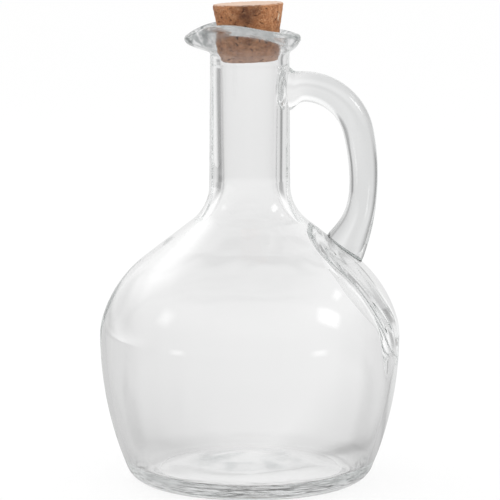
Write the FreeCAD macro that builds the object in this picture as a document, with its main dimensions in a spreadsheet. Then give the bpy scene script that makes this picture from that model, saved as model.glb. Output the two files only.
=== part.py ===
import FreeCAD, Part
import math
import os
from types import SimpleNamespace

import Sketcher
from FreeCAD import Placement, Rotation, Vector

# Corked glass oil bottle: a blown vessel with a pouring lip, a handle welded on, and a cork.
# Millimetres, +Z up. The origin is the middle of the base, level with what the bottle stands on.
# The handle is on +X and the pouring spout on -X.

# Driving sizes: millimetres, or degrees where the name ends in slope, taper, sweep, tilt or angle.
# A size that ends in run is the length over which a flare falls to about a third.
SIZES = {
    # Outside of the vessel, from the foot up
    "body_diameter": 103.0,
    "belly_height": 50.6,
    "side_radius": 120.0,
    "heel_radius": 8.2,
    "bearing_width": 4.0,
    "punt_height": 3.0,
    "belly_radius": 20.6,
    "belly_rise": 5.9,
    "shoulder_radius": 40.8,
    "shoulder_slope": 37.9,
    "neck_fillet": 15.8,
    "neck_diameter": 27.0,
    "neck_taper": 0.4,
    "neck_top": 147.9,
    # Inside of the vessel
    "wall": 2.0,
    "base_thickness": 4.5,
    "floor_radius": 170.0,
    "inner_heel_radius": 7.0,
    "inner_neck_fillet": 20.0,
    "bore_diameter": 20.2,
    "bore_taper": 1.0,
    # Thick glass left inside the shoulder, behind the foot of the handle
    "pad_angle": 40.0,
    "pad_length": 68.0,
    "pad_depth": 12.0,
    "pad_width": 32.0,
    # Pouring lip, measured to the middle of its rounded rim
    "rim_thickness": 3.4,
    "rim_flare": 2.25,
    "rim_height": 4.55,
    "rim_rise": 5.6,
    "rim_lean": 0.65,
    "rim_angle": -25.0,
    "spout_reach": 4.85,
    "spout_dip": 5.7,
    # Handle, measured to the middle of its oval section
    "handle_drop": 11.8,
    "handle_stem": 4.6,
    "bend_radius": 19.4,
    "bend_sweep": 77.0,
    "grip_radius": 75.0,
    "bend_thickness": 10.4,
    "grip_thickness": 9.5,
    "rod_flatness": 0.3,
    "root_rise": 1.3,
    "root_spread": 1.6,
    "root_run": 1.2,
    "root_drop": 3.0,
    "root_drop_run": 2.6,
    "foot_flare": 5.4,
    "foot_run": 10.5,
    "weld_depth": 4.0,
    # Cork
    "cork_rise": 16.7,
    "cork_waist": 7.6,
    "cork_sunk": 2.9,
    "cork_low_taper": 5.7,
    "cork_top_taper": 9.9,
    "cork_chamfer": 0.4,
    "cork_tilt": 2.2,
    "cork_clearance": 0.25,
}
LIP_SECTIONS = 36
LIP_TOLERANCE = 0.001
SPOUT_SHARPNESS = 6
DIP_SHARPNESS = 8
# Slope at which the lip leaves the neck, as a share of the straight way to its rim
BOWL_SHARE = 0.57
# Handle sections along the stem, as shares of its length, then how many on the bend and the grip
STEM_SHARES = (0, 0.15, 0.35, 0.65)
BEND_SECTIONS = 5
GRIP_SECTIONS = 9
# Share of the grip over which the rod thins
SLIM_SHARE = 0.5


def make_sheet(doc):
    """One aliased cell for each driving size."""
    sheet = doc.addObject("Spreadsheet::Sheet", "Sizes")
    for row, (alias, value) in enumerate(SIZES.items(), start=1):
        sheet.set(f"A{row}", alias)
        sheet.set(f"B{row}", str(value))
        sheet.setAlias(f"B{row}", alias)
    doc.recompute()
    return sheet


def unit(angle):
    """Direction at an angle in degrees from the first axis of a profile's plane."""
    return Vector(math.cos(math.radians(angle)), math.sin(math.radians(angle)), 0)


def line(start, end, smooth=False):
    return SimpleNamespace(start=start, end=end, centre=None, turn=1, smooth=smooth)


def arc(centre, start, end, turn=1, smooth=True):
    """Arc from start to end, anticlockwise for turn 1 and clockwise for turn -1."""
    return SimpleNamespace(start=start, end=end, centre=centre, turn=turn, smooth=smooth)


def line_crossing(first, first_way, second, second_way):
    """The point where two lines cross, each given by a point and its way."""
    scale = first_way.x * second_way.y - first_way.y * second_way.x
    between = second - first
    return first + first_way * ((between.x * second_way.y - between.y * second_way.x) / scale)


def outer_crossing(first, first_radius, second, second_radius):
    """The point further from the axis where two circles cross."""
    between = second - first
    gap = between.Length
    along = (gap ** 2 + first_radius ** 2 - second_radius ** 2) / (2 * gap)
    across = math.sqrt(first_radius ** 2 - along ** 2)
    direction = between / gap
    square = Vector(direction.y, -direction.x, 0)
    middle = first + direction * along
    return max(middle + square * across, middle - square * across, key=lambda point: point.x)


def shoulder_line(size, inset):
    """Belly, shoulder arc and straight shoulder, the same distance inside the outer wall all along."""
    belly = Vector(size.body_diameter / 2 - inset, size.belly_height, 0)
    belly_centre = belly - Vector(size.belly_radius - inset, 0, 0)
    belly_normal = unit(math.degrees(math.asin(size.belly_rise / size.belly_radius)))
    belly_end = belly_centre + belly_normal * (size.belly_radius - inset)
    centre = belly_end - belly_normal * (size.shoulder_radius - inset)
    normal = unit(90 - size.shoulder_slope)
    return SimpleNamespace(
        belly=belly,
        side_centre=belly - Vector(size.side_radius - inset, 0, 0),
        belly_centre=belly_centre,
        belly_end=belly_end,
        centre=centre,
        end=centre + normal * (size.shoulder_radius - inset),
        normal=normal,
    )


def upper_segments(shoulder, side_start, top, taper, fillet):
    """Side, belly, shoulder and neck, from the heel up to the top of the neck."""
    neck_normal = unit(taper)
    fillet_centre = line_crossing(
        shoulder.end + shoulder.normal * fillet,
        Vector(-shoulder.normal.y, shoulder.normal.x, 0),
        top + neck_normal * fillet,
        Vector(-neck_normal.y, neck_normal.x, 0),
    )
    fillet_start = fillet_centre - shoulder.normal * fillet
    fillet_end = fillet_centre - neck_normal * fillet
    return [
        arc(shoulder.side_centre, side_start, shoulder.belly),
        arc(shoulder.belly_centre, shoulder.belly, shoulder.belly_end),
        arc(shoulder.centre, shoulder.belly_end, shoulder.end),
        line(shoulder.end, fillet_start, smooth=True),
        arc(fillet_centre, fillet_start, fillet_end, turn=-1),
        line(fillet_end, top),
        line(top, Vector(0, top.y, 0)),
    ]


def draw(sketch, segments):
    """Adds a closed chain of lines and arcs, each joined to the next."""
    ends = []
    for segment in segments:
        if segment.centre is None:
            sketch.addGeometry(Part.LineSegment(segment.start, segment.end))
        else:
            circle = Part.Circle(segment.centre, Vector(0, 0, 1), (segment.start - segment.centre).Length)
            first, last = (segment.start, segment.end)[::segment.turn]
            sketch.addGeometry(Part.ArcOfCircle(circle, circle.parameter(first), circle.parameter(last)))
        ends.append((1, 2)[::segment.turn])
    for index, segment in enumerate(segments):
        following = (index + 1) % len(segments)
        kind = "Tangent" if segment.smooth else "Coincident"
        sketch.addConstraint(Sketcher.Constraint(kind, index, ends[index][1], following, ends[following][0]))


def bind(sketch, kind, places, expression):
    """Adds one dimension and ties it to the sheet."""
    value = sketch.evalExpression(expression)
    amount = math.radians(value) if kind == "Angle" else value
    index = sketch.addConstraint(Sketcher.Constraint(kind, *places, amount))
    suffix = " * 1 deg" if kind == "Angle" else ""
    sketch.setExpression(f"Constraints[{index}]", f"({expression}){suffix}")


def hold(sketch, kind, *places):
    sketch.addConstraint(Sketcher.Constraint(kind, *places))


def bind_upper(sketch, side, inset, neck_radius, taper, fillet):
    """Sizes shared by the outer and the inner line, whose side arc has the index given."""
    belly, shoulder, slope, neck_fillet, neck, top = range(side + 1, side + 7)
    bind(sketch, "Radius", (side,), f"Sizes.side_radius - {inset}")
    bind(sketch, "Radius", (belly,), f"Sizes.belly_radius - {inset}")
    bind(sketch, "Radius", (shoulder,), f"Sizes.shoulder_radius - {inset}")
    bind(sketch, "Radius", (neck_fillet,), fillet)
    bind(sketch, "DistanceX", (-1, 1, belly, 1), f"Sizes.body_diameter / 2 - {inset}")
    bind(sketch, "DistanceY", (-1, 1, belly, 1), "Sizes.belly_height")
    hold(sketch, "Horizontal", belly, 3, belly, 1)
    rise = f"Sizes.belly_rise * (Sizes.belly_radius - {inset}) / Sizes.belly_radius"
    bind(sketch, "DistanceY", (belly, 1, belly, 2), rise)
    bind(sketch, "Angle", (slope,), "180 - Sizes.shoulder_slope")
    bind(sketch, "Angle", (neck,), f"90 + {taper}")
    bind(sketch, "DistanceX", (-1, 1, neck, 2), neck_radius)
    bind(sketch, "DistanceY", (-1, 1, neck, 2), "Sizes.neck_top")
    hold(sketch, "Horizontal", top)
    hold(sketch, "PointOnObject", top, 2, -2)


def upright_sketch(body, name):
    """Sketch on the body's XZ plane: across is the radius and up is the height."""
    sketch = body.newObject("Sketcher::SketchObject", name)
    plane = next(feature for feature in body.Origin.OriginFeatures if feature.Role == "XZ_Plane")
    sketch.AttachmentSupport = (plane, [""])
    sketch.MapMode = "FlatFace"
    return sketch


def revolve(body, sketch, name):
    turned = body.newObject("PartDesign::Revolution", name)
    turned.Profile = sketch
    turned.ReferenceAxis = (sketch, ["V_Axis"])
    turned.Angle = 360
    return turned


def make_outline(doc, size):
    """The vessel's outside as a filled solid of revolution, up to the root of the lip."""
    shoulder = shoulder_line(size, 0)
    heel_drop = size.belly_height - size.heel_radius
    heel_reach = math.sqrt((size.side_radius - size.heel_radius) ** 2 - heel_drop ** 2)
    heel_centre = Vector(shoulder.side_centre.x + heel_reach, size.heel_radius, 0)
    outward = (heel_centre - shoulder.side_centre).normalize()
    side_start = shoulder.side_centre + outward * size.side_radius
    bearing_outer = Vector(heel_centre.x, 0, 0)
    bearing_inner = Vector(heel_centre.x - size.bearing_width, 0, 0)
    punt_top = Vector(0, size.punt_height, 0)
    punt_radius = (bearing_inner.x ** 2 + size.punt_height ** 2) / (2 * size.punt_height)
    punt_centre = punt_top - Vector(0, punt_radius, 0)
    neck_top = Vector(size.neck_diameter / 2, size.neck_top, 0)

    body = doc.addObject("PartDesign::Body", "vessel_outline")
    sketch = upright_sketch(body, "outer_profile")
    segments = [
        arc(punt_centre, punt_top, bearing_inner, turn=-1, smooth=False),
        line(bearing_inner, bearing_outer, smooth=True),
        arc(heel_centre, bearing_outer, side_start),
        *upper_segments(shoulder, side_start, neck_top, size.neck_taper, size.neck_fillet),
        line(Vector(0, neck_top.y, 0), punt_top),
    ]
    draw(sketch, segments)
    punt, bearing, heel, side = range(4)
    axis = len(segments) - 1
    hold(sketch, "PointOnObject", punt, 3, -2)
    hold(sketch, "PointOnObject", bearing, 1, -1)
    hold(sketch, "PointOnObject", bearing, 2, -1)
    hold(sketch, "PointOnObject", axis, 2, -2)
    bind(sketch, "DistanceY", (-1, 1, axis, 2), "Sizes.punt_height")
    bind(sketch, "DistanceX", (bearing, 1, bearing, 2), "Sizes.bearing_width")
    bind(sketch, "Radius", (heel,), "Sizes.heel_radius")
    bind_upper(sketch, side, "0", "Sizes.neck_diameter / 2", "Sizes.neck_taper", "Sizes.neck_fillet")
    revolve(body, sketch, "outer_turn")
    return body


def make_cavity(doc, size):
    """The space for the oil, with the thick glass behind the handle's foot taken out of it."""
    shoulder = shoulder_line(size, size.wall)
    floor_top = Vector(0, size.punt_height + size.base_thickness, 0)
    floor_centre = floor_top - Vector(0, size.floor_radius, 0)
    side_reach = size.side_radius - size.wall - size.inner_heel_radius
    floor_reach = size.floor_radius + size.inner_heel_radius
    heel_centre = outer_crossing(shoulder.side_centre, side_reach, floor_centre, floor_reach)
    floor_end = floor_centre + (heel_centre - floor_centre) * (size.floor_radius / floor_reach)
    outward = (heel_centre - shoulder.side_centre) / side_reach
    side_start = heel_centre + outward * size.inner_heel_radius
    bore_top = Vector(size.bore_diameter / 2, size.neck_top, 0)

    body = doc.addObject("PartDesign::Body", "oil_space")
    sketch = upright_sketch(body, "inner_profile")
    segments = [
        arc(floor_centre, floor_top, floor_end, turn=-1),
        arc(heel_centre, floor_end, side_start),
        *upper_segments(shoulder, side_start, bore_top, -size.bore_taper, size.inner_neck_fillet),
        line(Vector(0, bore_top.y, 0), floor_top),
    ]
    draw(sketch, segments)
    floor, heel, side = range(3)
    axis = len(segments) - 1
    hold(sketch, "PointOnObject", floor, 3, -2)
    hold(sketch, "PointOnObject", axis, 2, -2)
    bind(sketch, "DistanceY", (-1, 1, axis, 2), "Sizes.punt_height + Sizes.base_thickness")
    bind(sketch, "Radius", (floor,), "Sizes.floor_radius")
    bind(sketch, "Radius", (heel,), "Sizes.inner_heel_radius")
    bore_radius = "Sizes.bore_diameter / 2"
    bind_upper(sketch, side, "Sizes.wall", bore_radius, "-Sizes.bore_taper", "Sizes.inner_neck_fillet")
    revolve(body, sketch, "inner_turn")
    doc.recompute()

    pad = body.newObject("PartDesign::SubtractiveEllipsoid", "pad")
    pad.setExpression("Radius1", "Sizes.pad_length / 2")
    pad.setExpression("Radius2", "Sizes.pad_depth")
    pad.setExpression("Radius3", "Sizes.pad_width / 2")
    outer = shoulder_line(size, 0)
    middle = outer.centre + unit(size.pad_angle) * size.shoulder_radius
    pad.Placement = Placement(Vector(middle.x, 0, middle.y), Rotation(Vector(0, 1, 0), -size.pad_angle))
    return body


def lip_section(size, turn):
    """Section of the lip at an angle round the neck: a bowl that turns up into a round rim."""
    share = (1 - math.cos(math.radians(turn))) / 2
    radius = size.rim_thickness / 2
    reach = size.neck_diameter / 2 + size.rim_flare + size.spout_reach * share ** SPOUT_SHARPNESS
    height = size.rim_height + size.rim_rise * share - size.spout_dip * share ** DIP_SHARPNESS
    height -= size.rim_lean * math.sin(math.radians(turn))
    rim = Vector(reach, size.neck_top + height, 0)
    inner_root = Vector(size.bore_diameter / 2, size.neck_top, 0)
    outer_root = Vector(size.neck_diameter / 2, size.neck_top, 0)

    outer_end = rim + unit(size.rim_angle) * radius
    chord = outer_end - outer_root
    leaving = unit(BOWL_SHARE * math.degrees(math.atan2(chord.y, chord.x)))
    bowl = line_crossing(outer_root, leaving, outer_end, unit(size.rim_angle + 90))
    back = inner_root - rim
    inner_angle = math.degrees(math.atan2(back.y, back.x) - math.acos(radius / back.Length))
    inner_angle = size.rim_angle + (inner_angle - size.rim_angle) % 360
    inner_end = rim + unit(inner_angle) * radius
    crest = rim + unit((size.rim_angle + inner_angle) / 2) * radius

    around = unit(turn)
    corners = [inner_root, outer_root, bowl, outer_end, crest, inner_end]
    placed = [Vector(around.x * point.x, around.y * point.x, point.y) for point in corners]
    inner_root, outer_root, bowl, outer_end, crest, inner_end = placed
    underside = Part.BezierCurve()
    underside.setPoles([outer_root, bowl, outer_end])
    return Part.Wire([
        Part.makeLine(inner_root, outer_root),
        underside.toShape(),
        Part.Arc(outer_end, crest, inner_end).toShape(),
        Part.makeLine(inner_end, inner_root),
    ])


def make_lip(doc, size):
    """The flared lip, a closed ring that dips at the spout and at the handle."""
    sections = [lip_section(size, 360 * index / LIP_SECTIONS) for index in range(LIP_SECTIONS)]
    lip = doc.addObject("Part::Feature", "pouring_lip")
    lip.Shape = Part.makeLoft(sections, True, False, True)
    return lip


def make_bottle(doc, outline, cavity, lip):
    """The hollow vessel and its lip as one piece of glass."""
    vessel = doc.addObject("Part::Cut", "hollow_vessel")
    vessel.Base = outline
    vessel.Tool = cavity
    doc.recompute()
    bottle = doc.addObject("Part::Feature", "glass_bottle")
    bottle.Shape = vessel.Shape.fuse([lip.Shape], LIP_TOLERANCE)
    return bottle


def handle_stations(size):
    """Places along the handle's middle line, with the way it runs there and how it flares."""
    shoulder = shoulder_line(size, 0)
    height = size.neck_top - size.handle_drop
    neck = size.neck_diameter / 2
    bend_centre = Vector(neck + size.handle_stem, height - size.bend_radius, 0)
    bend_end = 90 - size.bend_sweep
    grip_centre = bend_centre + unit(bend_end) * (size.bend_radius - size.grip_radius)
    drop = (shoulder.end - grip_centre).dot(shoulder.normal)
    foot_angle = 90 - size.shoulder_slope - math.degrees(math.acos(drop / size.grip_radius))
    grip_length = math.radians(bend_end - foot_angle) * size.grip_radius

    def station(point, heading, from_root=math.inf, to_foot=math.inf):
        return SimpleNamespace(
            point=point,
            heading=heading,
            rise=math.exp(-(from_root / size.root_run) ** 2),
            drop=math.exp(-(from_root / size.root_drop_run) ** 2),
            foot=math.exp(-(to_foot / size.foot_run) ** 2),
            slim=min(max(1 - to_foot / grip_length, 0) / SLIM_SHARE, 1),
        )

    stations = [station(Vector(neck - size.weld_depth, height, 0), 0, from_root=0)]
    for share in STEM_SHARES:
        along = size.handle_stem * share
        stations.append(station(Vector(neck + along, height, 0), 0, from_root=along))
    for index in range(BEND_SECTIONS):
        turned = size.bend_sweep * index / (BEND_SECTIONS - 1)
        along = size.handle_stem + math.radians(turned) * size.bend_radius
        point = bend_centre + unit(90 - turned) * size.bend_radius
        stations.append(station(point, -turned, from_root=along))
    for index in range(1, GRIP_SECTIONS):
        left = (1 - index / (GRIP_SECTIONS - 1)) ** 2
        angle = foot_angle + (bend_end - foot_angle) * left
        point = grip_centre + unit(angle) * size.grip_radius
        stations.append(station(point, angle - 90, to_foot=grip_length * left))
    foot = stations[-1]
    weld = foot.point + unit(foot.heading) * size.weld_depth
    return stations + [station(weld, foot.heading, to_foot=0)]


def make_handle(doc, size, outline):
    """A solid rod of oval section, bent in one plane and trimmed to the neck and the shoulder."""
    ovals = []
    for index, place in enumerate(handle_stations(size)):
        oval = doc.addObject("Part::Ellipse", f"handle_section_{index}")
        slim = f"(Sizes.grip_thickness - Sizes.bend_thickness) * {place.slim:.6f}"
        above = f"Sizes.root_rise * {place.rise:.6f}"
        below = f"Sizes.root_drop * {place.drop:.6f} + Sizes.foot_flare * {place.foot:.6f}"
        wider = f"2 * Sizes.root_spread * {place.rise:.6f} - Sizes.rod_flatness"
        oval.setExpression("MajorRadius", f"(Sizes.bend_thickness + {slim} + {above} + {below}) / 2")
        oval.setExpression("MinorRadius", f"(Sizes.bend_thickness + {slim} + {wider}) / 2")
        along = unit(place.heading)
        forward = Vector(along.x, 0, along.y)
        across = Vector(0, 1, 0)
        up = forward.cross(across)
        below_more = size.root_drop * place.drop + size.foot_flare * place.foot - size.root_rise * place.rise
        middle = Vector(place.point.x, 0, place.point.y) - up * (below_more / 2)
        oval.Placement = Placement(middle, Rotation(up, -across, forward, "ZXY"))
        ovals.append(oval)
    rod = doc.addObject("Part::Loft", "handle_rod")
    rod.Sections = ovals
    rod.Solid = True
    handle = doc.addObject("Part::Cut", "glass_handle")
    handle.Base = rod
    handle.Tool = outline
    return handle


def make_cork(doc, size):
    """Tapered stopper, wider above the lip, pushed a little askew into the bore."""
    seat = size.bore_diameter / 2 - size.cork_clearance
    low = math.tan(math.radians(size.cork_low_taper))
    high = math.tan(math.radians(size.cork_top_taper))
    waist = seat + size.cork_waist * low
    corners = [
        Vector(0, -size.cork_sunk, 0),
        Vector(seat - size.cork_sunk * low, -size.cork_sunk, 0),
        Vector(waist, size.cork_waist, 0),
        Vector(waist + (size.cork_rise - size.cork_waist) * high, size.cork_rise, 0),
        Vector(0, size.cork_rise, 0),
    ]
    body = doc.addObject("PartDesign::Body", "cork_stopper")
    sketch = upright_sketch(body, "cork_profile")
    draw(sketch, [line(corner, corners[(index + 1) % len(corners)]) for index, corner in enumerate(corners)])
    bottom, shank, head, top, axis = range(len(corners))
    hold(sketch, "Horizontal", bottom)
    hold(sketch, "Horizontal", top)
    hold(sketch, "PointOnObject", axis, 1, -2)
    hold(sketch, "PointOnObject", axis, 2, -2)
    seat_radius = "Sizes.bore_diameter / 2 - Sizes.cork_clearance"
    low_tan = "tan(Sizes.cork_low_taper * 1 deg)"
    bind(sketch, "DistanceY", (bottom, 1, -1, 1), "Sizes.cork_sunk")
    bind(sketch, "DistanceY", (-1, 1, top, 1), "Sizes.cork_rise")
    bind(sketch, "DistanceY", (-1, 1, head, 1), "Sizes.cork_waist")
    bind(sketch, "DistanceX", (-1, 1, shank, 1), f"{seat_radius} - Sizes.cork_sunk * {low_tan}")
    bind(sketch, "Angle", (shank,), "90 - Sizes.cork_low_taper")
    bind(sketch, "Angle", (head,), "90 - Sizes.cork_top_taper")
    turned = revolve(body, sketch, "cork_turn")
    doc.recompute()
    ends = [
        f"Edge{number}"
        for number, edge in enumerate(turned.Shape.Edges, start=1)
        if edge.Closed and abs(edge.BoundBox.ZMin - size.cork_waist) > size.cork_chamfer
    ]
    chamfer = body.newObject("PartDesign::Chamfer", "worn_edges")
    chamfer.Base = (turned, ends)
    chamfer.setExpression("Size", "Sizes.cork_chamfer")
    body.Placement = Placement(Vector(0, 0, size.neck_top), Rotation(Vector(0, 1, 0), -size.cork_tilt))
    return body


def check(doc, parts):
    """Stops the build at the first failed object or unsound solid."""
    for item in doc.Objects:
        if "Invalid" in item.State or "Error" in item.State:
            raise RuntimeError(f"{item.Label} failed to build")
    for item in parts:
        if item.Shape.isNull() or not item.Shape.isValid() or len(item.Shape.Solids) != 1:
            raise RuntimeError(f"{item.Label} is not one sound solid")


def main():
    doc = FreeCAD.newDocument("oil_bottle")
    sheet = make_sheet(doc)
    size = SimpleNamespace(**{alias: float(sheet.get(alias)) for alias in SIZES})
    outline = make_outline(doc, size)
    cavity = make_cavity(doc, size)
    bottle = make_bottle(doc, outline, cavity, make_lip(doc, size))
    handle = make_handle(doc, size, outline)
    cork = make_cork(doc, size)
    doc.recompute()
    parts = [bottle, handle, cork]
    check(doc, parts)
    os.makedirs("parts", exist_ok=True)
    for item in parts:
        item.Shape.exportStep(f"parts/{item.Label}.step")
        box = item.Shape.BoundBox
        print(f"{item.Label}: {item.Shape.Volume / 1000:.2f} ml of solid, up to {box.ZMax:.2f} mm high")


main()
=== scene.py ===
import math

import bpy
import numpy as np
from mathutils import Matrix, Vector, noise
from mathutils.bvhtree import BVHTree
from mathutils.interpolate import poly_3d_calc


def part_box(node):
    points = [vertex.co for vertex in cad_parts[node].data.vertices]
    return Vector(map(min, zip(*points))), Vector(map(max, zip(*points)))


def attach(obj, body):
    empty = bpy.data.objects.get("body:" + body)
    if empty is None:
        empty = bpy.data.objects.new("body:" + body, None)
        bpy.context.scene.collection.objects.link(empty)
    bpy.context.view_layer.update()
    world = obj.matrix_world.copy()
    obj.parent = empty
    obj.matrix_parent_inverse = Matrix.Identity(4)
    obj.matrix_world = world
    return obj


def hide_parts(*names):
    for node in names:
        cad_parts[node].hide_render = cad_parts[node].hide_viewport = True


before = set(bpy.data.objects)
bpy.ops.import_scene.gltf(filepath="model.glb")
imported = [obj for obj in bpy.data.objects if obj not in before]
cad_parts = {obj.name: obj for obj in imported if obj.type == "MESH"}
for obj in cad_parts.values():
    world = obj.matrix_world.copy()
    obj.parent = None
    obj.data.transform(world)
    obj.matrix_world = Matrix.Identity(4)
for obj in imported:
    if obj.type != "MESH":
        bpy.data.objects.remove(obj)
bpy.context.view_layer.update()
scene = bpy.context.scene
mm = 0.001
bottleLow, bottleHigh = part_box("glass_bottle")
print("frame loaded, bottle", [round(edge / mm, 2) for edge in (*bottleLow, *bottleHigh)])

# Glass vessel, millimetres and degrees, handle on +X and spout on -X
vessel = {
    "bodyRadius": min(bottleHigh.x, -bottleLow.x) / mm,
    "bellyHeight": 50.6,
    "sideRadius": 120.0,
    "heelRadius": 8.2,
    "bearingWidth": 4.0,
    "puntHeight": 3.0,
    "bellyRadius": 20.6,
    "bellyRise": 5.9,
    "shoulderRadius": 40.8,
    "shoulderSlope": 37.9,
    "neckFillet": 15.8,
    "neckRadius": 13.5,
    "neckTaper": 0.4,
    "neckTop": 147.9,
    "wall": 2.0,
    "baseThickness": 4.5,
    "floorRadius": 170.0,
    "innerHeelRadius": 7.0,
    "innerNeckFillet": 20.0,
    "boreRadius": 10.1,
    "boreTaper": 1.0,
    "thinShoulder": (1.0, 72.0, 16.0),  # wall lost on the shoulder, its level and reach
    "thickNeck": (16.0, 28.0),  # radii between which that fades out towards the neck
    "kick": (1.6, 11.0, -2.5),  # raised middle of the floor: height, reach and shift along X
    "kickTop": 12.0,  # it moves only what lies below this level
    "heelRipple": (0.07, 9.0, 1.9),  # tool marks: depth, spacing round and up
    "heelLevels": (14.0, 28 / 3),  # levels at which they start and are full
    "heelReach": (0.65, 0.90),  # the same in shares of the body radius
    "neckRidges": [(-22.0, 90.0, 121.0), (-158.0, 90.0, 144.0)],  # turn, lower and upper end
    "ridgeSize": (0.30, 0.7, 8.0),  # height, half width and length of the faded ends
    "step": 0.7,  # ring spacing
    "heelStep": 0.5,  # share of it round the tight heel
    "neckStep": 1.5,  # and on the straight neck
    "segments": 240,  # points round each ring
}


def heading(angle):
    return np.array((math.cos(math.radians(angle)), math.sin(math.radians(angle))))


def turnsRound(count):
    return np.linspace(0, 2 * math.pi, count, endpoint=False)


def wrapped(turns):
    # turns brought between minus and plus half a round
    return (turns + math.pi) % (2 * math.pi) - math.pi


def angleOf(vector):
    return math.degrees(math.atan2(vector[1], vector[0]))


def arcRun(centre, radius, start, end, step):
    count = max(4, math.ceil(abs(math.radians(end - start)) * radius / step))
    angles = np.radians(np.linspace(start, end, count + 1))
    return np.column_stack((centre[0] + radius * np.cos(angles), centre[1] + radius * np.sin(angles)))


def lineRun(start, end, step):
    count = max(2, math.ceil(np.linalg.norm(np.subtract(end, start)) / step))
    return np.linspace(start, end, count + 1)


def joinRuns(runs):
    return np.vstack([runs[0]] + [run[1:] for run in runs[1:]])


def lengthAlong(points):
    return np.concatenate(([0], np.cumsum(np.linalg.norm(np.diff(points, axis=0), axis=1))))


def outwardOf(profile):
    slope = np.gradient(profile, axis=0)
    slope /= np.linalg.norm(slope, axis=-1, keepdims=True)
    return np.stack((slope[..., 1], -slope[..., 0]), axis=-1)


def fade(values, start, end):
    # 0 at the start, 1 at the end
    return np.clip((values - start) / (end - start), 0, 1)


def spin(profile, turns):
    # radius and height turned round the axis
    radius, height = profile[..., 0], profile[..., 1]
    return np.stack((radius * np.cos(turns), radius * np.sin(turns), height + 0 * turns), axis=-1)


def noiseAt(points):
    values = [noise.noise(Vector(point)) for point in points.reshape(-1, 3)]
    return np.array(values).reshape(points.shape[:-1])


def shoulderLine(shape, inset):
    # belly and shoulder arcs at a steady distance inside the outer wall, and the slope above them
    bellyCentre = np.array((shape["bodyRadius"] - shape["bellyRadius"], shape["bellyHeight"]))
    bellyTurn = math.degrees(math.asin(shape["bellyRise"] / shape["bellyRadius"]))
    shoulderCentre = bellyCentre + heading(bellyTurn) * (shape["bellyRadius"] - shape["shoulderRadius"])
    slopeNormal = heading(90 - shape["shoulderSlope"])
    shoulderEnd = shoulderCentre + slopeNormal * (shape["shoulderRadius"] - inset)
    return bellyCentre, bellyTurn, shoulderCentre, shoulderEnd, slopeNormal


def upperWall(shape, inset, neckRadius, taper, fillet, top):
    # belly, shoulder, slope and neck, and the middle of the side's arc below them
    step = shape["step"]
    bellyCentre, bellyTurn, shoulderCentre, shoulderEnd, slopeNormal = shoulderLine(shape, inset)
    neckNormal = heading(taper)
    neckTop = np.array((neckRadius, shape["neckTop"]))
    reach = (shoulderEnd @ slopeNormal + fillet, neckTop @ neckNormal + fillet)
    filletCentre = np.linalg.solve(np.array((slopeNormal, neckNormal)), reach)
    filletStart = filletCentre - slopeNormal * fillet
    filletEnd = filletCentre - neckNormal * fillet
    stop = filletEnd + (neckTop - filletEnd) * ((top - filletEnd[1]) / (neckTop[1] - filletEnd[1]))
    runs = [
        arcRun(bellyCentre, shape["bellyRadius"] - inset, 0, bellyTurn, step),
        arcRun(shoulderCentre, shape["shoulderRadius"] - inset, bellyTurn, 90 - shape["shoulderSlope"], step),
        lineRun(shoulderEnd, filletStart, step),
        arcRun(filletCentre, fillet, 270 - shape["shoulderSlope"], 180 + taper, step),
        lineRun(filletEnd, stop, step * shape["neckStep"]),
    ]
    return runs, np.array((shape["bodyRadius"] - shape["sideRadius"], shape["bellyHeight"]))


def outerWall(shape, top):
    neck, taper, fillet = shape["neckRadius"], shape["neckTaper"], shape["neckFillet"]
    runs, sideCentre = upperWall(shape, 0, neck, taper, fillet, top)
    step, heel = shape["step"], shape["heelRadius"]
    heelReach = math.sqrt((shape["sideRadius"] - heel) ** 2 - (shape["bellyHeight"] - heel) ** 2)
    heelCentre = sideCentre + (heelReach, heel - shape["bellyHeight"])
    heelTurn = angleOf(heelCentre - sideCentre)
    bearing = heelCentre[0] - shape["bearingWidth"]
    puntRadius = (bearing ** 2 + shape["puntHeight"] ** 2) / (2 * shape["puntHeight"])
    puntTurn = math.degrees(math.asin(bearing / puntRadius))
    puntCentre = (0, shape["puntHeight"] - puntRadius)
    return joinRuns([
        arcRun(puntCentre, puntRadius, 90, 90 - puntTurn, step),
        lineRun((bearing, 0), (heelCentre[0], 0), step),
        arcRun(heelCentre, heel, -90, heelTurn, step * shape["heelStep"]),
        arcRun(sideCentre, shape["sideRadius"], heelTurn, 0, step),
        *runs,
    ])


def innerWall(shape, top):
    inset, heel = shape["wall"], shape["innerHeelRadius"]
    bore, taper, fillet = shape["boreRadius"], shape["boreTaper"], shape["innerNeckFillet"]
    runs, sideCentre = upperWall(shape, inset, bore, -taper, fillet, top)
    sideRadius = shape["sideRadius"] - inset
    floorTop = shape["puntHeight"] + shape["baseThickness"]
    floorCentre = np.array((0, floorTop - shape["floorRadius"]))
    between = floorCentre - sideCentre
    gap = np.linalg.norm(between)
    sideReach, floorReach = sideRadius - heel, shape["floorRadius"] + heel
    along = (gap ** 2 + sideReach ** 2 - floorReach ** 2) / (2 * gap)
    across = math.sqrt(sideReach ** 2 - along ** 2)
    outward = np.array((-between[1], between[0])) / gap
    heelCentre = sideCentre + between * along / gap + outward * across
    floorTurn = angleOf(heelCentre - floorCentre)
    sideTurn = angleOf(heelCentre - sideCentre)
    step = shape["step"]
    return joinRuns([
        arcRun(floorCentre, shape["floorRadius"], 90, floorTurn, step),
        arcRun(heelCentre, heel, floorTurn - 180, sideTurn, step * shape["heelStep"]),
        arcRun(sideCentre, sideRadius, sideTurn, 0, step),
        *runs,
    ])


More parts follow.
